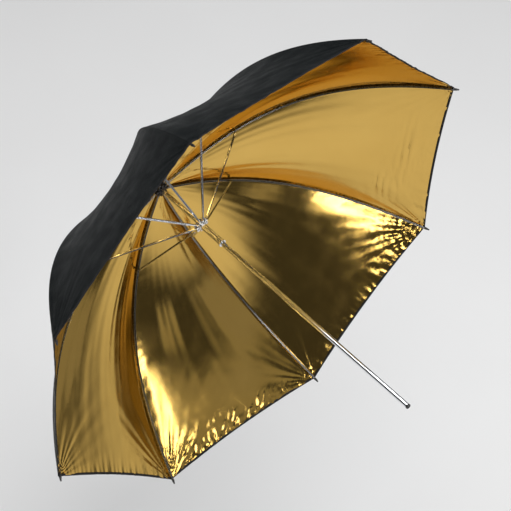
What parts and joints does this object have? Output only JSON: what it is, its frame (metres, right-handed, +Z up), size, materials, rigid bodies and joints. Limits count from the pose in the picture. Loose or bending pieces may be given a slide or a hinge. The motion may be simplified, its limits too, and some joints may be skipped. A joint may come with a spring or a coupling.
{
  "type": "umbrella reflector",
  "caption": "Folding studio reflector umbrella: curved metal ribs and stretchers on a slim shaft, black fabric outside and a gold metallised lining inside.",
  "frame": {"origin": "the point on the shaft's axis where a lamp holder grips the shaft", "axes": "+Y along the shaft towards the crown, the bowl opens towards -Y, +Z is up as the picture's horizontal shaft would have it"},
  "size_m": [0.8466, 0.6072, 0.8466],
  "materials": {
    "chrome": "bright plated steel",
    "steel": "plated steel, slightly dull",
    "black_plastic": "moulded, satin",
    "canopy_black": "tightly woven black nylon",
    "canopy_gold": "gold metallised satin, crinkled near the seams"
  },
  "bodies": {
    "shaft": {"shaft_tube": "chrome", "shaft_end_plug": "black_plastic", "runner_stop_pin": "steel", "crown_hub": "black_plastic", "crown_wire": "steel", "crown_washer": "black_plastic", "crown_cap": "black_plastic"},
    "catch": {"shaft_catch": "steel"},
    "runner": {"runner_sleeve": "chrome", "runner_wire": "steel"},
    "rib_1": {"rib_1": "steel", "rib_tip_1": "black_plastic", "rib_rivet_1": "steel"},
    "stretcher_1": {"stretcher_1": "chrome"},
    "gore_1_left": {"gore_1_left": "canopy_black"},
    "gore_1_right": {"gore_1_right": "canopy_black"},
    "rib_2": {"rib_2": "steel", "rib_tip_2": "black_plastic", "rib_rivet_2": "steel"},
    "stretcher_2": {"stretcher_2": "chrome"},
    "gore_2_left": {"gore_2_left": "canopy_black"},
    "gore_2_right": {"gore_2_right": "canopy_black"},
    "rib_3": {"rib_3": "steel", "rib_tip_3": "black_plastic", "rib_rivet_3": "steel"},
    "stretcher_3": {"stretcher_3": "chrome"},
    "gore_3_left": {"gore_3_left": "canopy_black"},
    "gore_3_right": {"gore_3_right": "canopy_black"},
    "rib_4": {"rib_4": "steel", "rib_tip_4": "black_plastic", "rib_rivet_4": "steel"},
    "stretcher_4": {"stretcher_4": "chrome"},
    "gore_4_left": {"gore_4_left": "canopy_black"},
    "gore_4_right": {"gore_4_right": "canopy_black"},
    "rib_5": {"rib_5": "steel", "rib_tip_5": "black_plastic", "rib_rivet_5": "steel"},
    "stretcher_5": {"stretcher_5": "chrome"},
    "gore_5_left": {"gore_5_left": "canopy_black"},
    "gore_5_right": {"gore_5_right": "canopy_black"},
    "rib_6": {"rib_6": "steel", "rib_tip_6": "black_plastic", "rib_rivet_6": "steel"},
    "stretcher_6": {"stretcher_6": "chrome"},
    "gore_6_left": {"gore_6_left": "canopy_black"},
    "gore_6_right": {"gore_6_right": "canopy_black"},
    "rib_7": {"rib_7": "steel", "rib_tip_7": "black_plastic", "rib_rivet_7": "steel"},
    "stretcher_7": {"stretcher_7": "chrome"},
    "gore_7_left": {"gore_7_left": "canopy_black"},
    "gore_7_right": {"gore_7_right": "canopy_black"},
    "rib_8": {"rib_8": "steel", "rib_tip_8": "black_plastic", "rib_rivet_8": "steel"},
    "stretcher_8": {"stretcher_8": "chrome"},
    "gore_8_left": {"gore_8_left": "canopy_black"},
    "gore_8_right": {"gore_8_right": "canopy_black"}
  },
  "joints": [
    {"name": "runner_slide", "type": "slide", "parent": "shaft", "child": "runner", "axis": [0, -1, 0], "range_m": [0, 0.19148], "deforming": ["gore_1_left", "gore_1_right", "gore_2_left", "gore_2_right", "gore_3_left", "gore_3_right", "gore_4_left", "gore_4_right", "gore_5_left", "gore_5_right", "gore_6_left", "gore_6_right", "gore_7_left", "gore_7_right", "gore_8_left", "gore_8_right", "shaft_catch"]},
    {"name": "catch_press", "type": "slide", "parent": "shaft", "child": "catch", "axis": [0, 0, -1], "range_m": [0, 0.0026], "stiffness_N_per_m": 900},
    {"name": "rib_1_fold", "type": "hinge", "parent": "shaft", "child": "rib_1", "pos_m": [0.00831, 0.45, 0.00344], "axis": [0.3827, 0, -0.9239], "range_deg": [0, 58]},
    {"name": "stretcher_1_swing", "type": "hinge", "parent": "rib_1", "child": "stretcher_1", "pos_m": [0.14499, 0.42822, 0.06006], "axis": [-0.3827, 0, 0.9239], "range_deg": [0, 98.48]},
    {"name": "gore_1_left_fold", "type": "hinge", "parent": "rib_1", "child": "gore_1_left", "pos_m": [0.009, 0.45, 0.00179], "axis": [-0.7856, -0.2859, 0.5487], "range_deg": [0, 25.64]},
    {"name": "gore_1_right_fold", "type": "hinge", "parent": "rib_1", "child": "gore_1_right", "pos_m": [0.00763, 0.45, 0.0051], "axis": [0.1676, 0.2859, 0.9435], "range_deg": [0, 25.64]},
    {"name": "rib_2_fold", "type": "hinge", "parent": "shaft", "child": "rib_2", "pos_m": [0.00344, 0.45, 0.00831], "axis": [0.9239, 0, -0.3827], "range_deg": [0, 58]},
    {"name": "stretcher_2_swing", "type": "hinge", "parent": "rib_2", "child": "stretcher_2", "pos_m": [0.06006, 0.42822, 0.14499], "axis": [-0.9239, 0, 0.3827], "range_deg": [0, 98.48]},
    {"name": "gore_2_left_fold", "type": "hinge", "parent": "rib_2", "child": "gore_2_left", "pos_m": [0.0051, 0.45, 0.00763], "axis": [-0.9435, -0.2859, -0.1676], "range_deg": [0, 25.64]},
    {"name": "gore_2_right_fold", "type": "hinge", "parent": "rib_2", "child": "gore_2_right", "pos_m": [0.00179, 0.45, 0.009], "axis": [-0.5487, 0.2859, 0.7856], "range_deg": [0, 25.64]},
    {"name": "rib_3_fold", "type": "hinge", "parent": "shaft", "child": "rib_3", "pos_m": [-0.00344, 0.45, 0.00831], "axis": [0.9239, 0, 0.3827], "range_deg": [0, 58]},
    {"name": "stretcher_3_swing", "type": "hinge", "parent": "rib_3", "child": "stretcher_3", "pos_m": [-0.06006, 0.42822, 0.14499], "axis": [-0.9239, 0, -0.3827], "range_deg": [0, 98.48]},
    {"name": "gore_3_left_fold", "type": "hinge", "parent": "rib_3", "child": "gore_3_left", "pos_m": [-0.00179, 0.45, 0.009], "axis": [-0.5487, -0.2859, -0.7856], "range_deg": [0, 25.64]},
    {"name": "gore_3_right_fold", "type": "hinge", "parent": "rib_3", "child": "gore_3_right", "pos_m": [-0.0051, 0.45, 0.00763], "axis": [-0.9435, 0.2859, 0.1676], "range_deg": [0, 25.64]},
    {"name": "rib_4_fold", "type": "hinge", "parent": "shaft", "child": "rib_4", "pos_m": [-0.00831, 0.45, 0.00344], "axis": [0.3827, 0, 0.9239], "range_deg": [0, 58]},
    {"name": "stretcher_4_swing", "type": "hinge", "parent": "rib_4", "child": "stretcher_4", "pos_m": [-0.14499, 0.42822, 0.06006], "axis": [-0.3827, 0, -0.9239], "range_deg": [0, 98.48]},
    {"name": "gore_4_left_fold", "type": "hinge", "parent": "rib_4", "child": "gore_4_left", "pos_m": [-0.00763, 0.45, 0.0051], "axis": [0.1676, -0.2859, -0.9435], "range_deg": [0, 25.64]},
    {"name": "gore_4_right_fold", "type": "hinge", "parent": "rib_4", "child": "gore_4_right", "pos_m": [-0.009, 0.45, 0.00179], "axis": [-0.7856, 0.2859, -0.5487], "range_deg": [0, 25.64]},
    {"name": "rib_5_fold", "type": "hinge", "parent": "shaft", "child": "rib_5", "pos_m": [-0.00831, 0.45, -0.00344], "axis": [-0.3827, 0, 0.9239], "range_deg": [0, 58]},
    {"name": "stretcher_5_swing", "type": "hinge", "parent": "rib_5", "child": "stretcher_5", "pos_m": [-0.14499, 0.42822, -0.06006], "axis": [0.3827, 0, -0.9239], "range_deg": [0, 98.48]},
    {"name": "gore_5_left_fold", "type": "hinge", "parent": "rib_5", "child": "gore_5_left", "pos_m": [-0.009, 0.45, -0.00179], "axis": [0.7856, -0.2859, -0.5487], "range_deg": [0, 25.64]},
    {"name": "gore_5_right_fold", "type": "hinge", "parent": "rib_5", "child": "gore_5_right", "pos_m": [-0.00763, 0.45, -0.0051], "axis": [-0.1676, 0.2859, -0.9435], "range_deg": [0, 25.64]},
    {"name": "rib_6_fold", "type": "hinge", "parent": "shaft", "child": "rib_6", "pos_m": [-0.00344, 0.45, -0.00831], "axis": [-0.9239, 0, 0.3827], "range_deg": [0, 58]},
    {"name": "stretcher_6_swing", "type": "hinge", "parent": "rib_6", "child": "stretcher_6", "pos_m": [-0.06006, 0.42822, -0.14499], "axis": [0.9239, 0, -0.3827], "range_deg": [0, 98.48]},
    {"name": "gore_6_left_fold", "type": "hinge", "parent": "rib_6", "child": "gore_6_left", "pos_m": [-0.0051, 0.45, -0.00763], "axis": [0.9435, -0.2859, 0.1676], "range_deg": [0, 25.64]},
    {"name": "gore_6_right_fold", "type": "hinge", "parent": "rib_6", "child": "gore_6_right", "pos_m": [-0.00179, 0.45, -0.009], "axis": [0.5487, 0.2859, -0.7856], "range_deg": [0, 25.64]},
    {"name": "rib_7_fold", "type": "hinge", "parent": "shaft", "child": "rib_7", "pos_m": [0.00344, 0.45, -0.00831], "axis": [-0.9239, 0, -0.3827], "range_deg": [0, 58]},
    {"name": "stretcher_7_swing", "type": "hinge", "parent": "rib_7", "child": "stretcher_7", "pos_m": [0.06006, 0.42822, -0.14499], "axis": [0.9239, 0, 0.3827], "range_deg": [0, 98.48]},
    {"name": "gore_7_left_fold", "type": "hinge", "parent": "rib_7", "child": "gore_7_left", "pos_m": [0.00179, 0.45, -0.009], "axis": [0.5487, -0.2859, 0.7856], "range_deg": [0, 25.64]},
    {"name": "gore_7_right_fold", "type": "hinge", "parent": "rib_7", "child": "gore_7_right", "pos_m": [0.0051, 0.45, -0.00763], "axis": [0.9435, 0.2859, -0.1676], "range_deg": [0, 25.64]},
    {"name": "rib_8_fold", "type": "hinge", "parent": "shaft", "child": "rib_8", "pos_m": [0.00831, 0.45, -0.00344], "axis": [-0.3827, 0, -0.9239], "range_deg": [0, 58]},
    {"name": "stretcher_8_swing", "type": "hinge", "parent": "rib_8", "child": "stretcher_8", "pos_m": [0.14499, 0.42822, -0.06006], "axis": [0.3827, 0, 0.9239], "range_deg": [0, 98.48]},
    {"name": "gore_8_left_fold", "type": "hinge", "parent": "rib_8", "child": "gore_8_left", "pos_m": [0.00763, 0.45, -0.0051], "axis": [-0.1676, -0.2859, 0.9435], "range_deg": [0, 25.64]},
    {"name": "gore_8_right_fold", "type": "hinge", "parent": "rib_8", "child": "gore_8_right", "pos_m": [0.009, 0.45, -0.00179], "axis": [0.7856, 0.2859, 0.5487], "range_deg": [0, 25.64]}
  ],
  "couplings": [
    {"joint": "rib_1_fold", "follows": "runner_slide", "rad_per_m": 5.2867},
    {"joint": "stretcher_1_swing", "follows": "runner_slide", "rad_per_m": 8.9761},
    {"joint": "gore_1_left_fold", "follows": "runner_slide", "rad_per_m": 2.3373},
    {"joint": "gore_1_right_fold", "follows": "runner_slide", "rad_per_m": 2.3373},
    {"joint": "rib_2_fold", "follows": "runner_slide", "rad_per_m": 5.2867},
    {"joint": "stretcher_2_swing", "follows": "runner_slide", "rad_per_m": 8.9761},
    {"joint": "gore_2_left_fold", "follows": "runner_slide", "rad_per_m": 2.3373},
    {"joint": "gore_2_right_fold", "follows": "runner_slide", "rad_per_m": 2.3373},
    {"joint": "rib_3_fold", "follows": "runner_slide", "rad_per_m": 5.2867},
    {"joint": "stretcher_3_swing", "follows": "runner_slide", "rad_per_m": 8.9761},
    {"joint": "gore_3_left_fold", "follows": "runner_slide", "rad_per_m": 2.3373},
    {"joint": "gore_3_right_fold", "follows": "runner_slide", "rad_per_m": 2.3373},
    {"joint": "rib_4_fold", "follows": "runner_slide", "rad_per_m": 5.2867},
    {"joint": "stretcher_4_swing", "follows": "runner_slide", "rad_per_m": 8.9761},
    {"joint": "gore_4_left_fold", "follows": "runner_slide", "rad_per_m": 2.3373},
    {"joint": "gore_4_right_fold", "follows": "runner_slide", "rad_per_m": 2.3373},
    {"joint": "rib_5_fold", "follows": "runner_slide", "rad_per_m": 5.2867},
    {"joint": "stretcher_5_swing", "follows": "runner_slide", "rad_per_m": 8.9761},
    {"joint": "gore_5_left_fold", "follows": "runner_slide", "rad_per_m": 2.3373},
    {"joint": "gore_5_right_fold", "follows": "runner_slide", "rad_per_m": 2.3373},
    {"joint": "rib_6_fold", "follows": "runner_slide", "rad_per_m": 5.2867},
    {"joint": "stretcher_6_swing", "follows": "runner_slide", "rad_per_m": 8.9761},
    {"joint": "gore_6_left_fold", "follows": "runner_slide", "rad_per_m": 2.3373},
    {"joint": "gore_6_right_fold", "follows": "runner_slide", "rad_per_m": 2.3373},
    {"joint": "rib_7_fold", "follows": "runner_slide", "rad_per_m": 5.2867},
    {"joint": "stretcher_7_swing", "follows": "runner_slide", "rad_per_m": 8.9761},
    {"joint": "gore_7_left_fold", "follows": "runner_slide", "rad_per_m": 2.3373},
    {"joint": "gore_7_right_fold", "follows": "runner_slide", "rad_per_m": 2.3373},
    {"joint": "rib_8_fold", "follows": "runner_slide", "rad_per_m": 5.2867},
    {"joint": "stretcher_8_swing", "follows": "runner_slide", "rad_per_m": 8.9761},
    {"joint": "gore_8_left_fold", "follows": "runner_slide", "rad_per_m": 2.3373},
    {"joint": "gore_8_right_fold", "follows": "runner_slide", "rad_per_m": 2.3373}
  ]
}
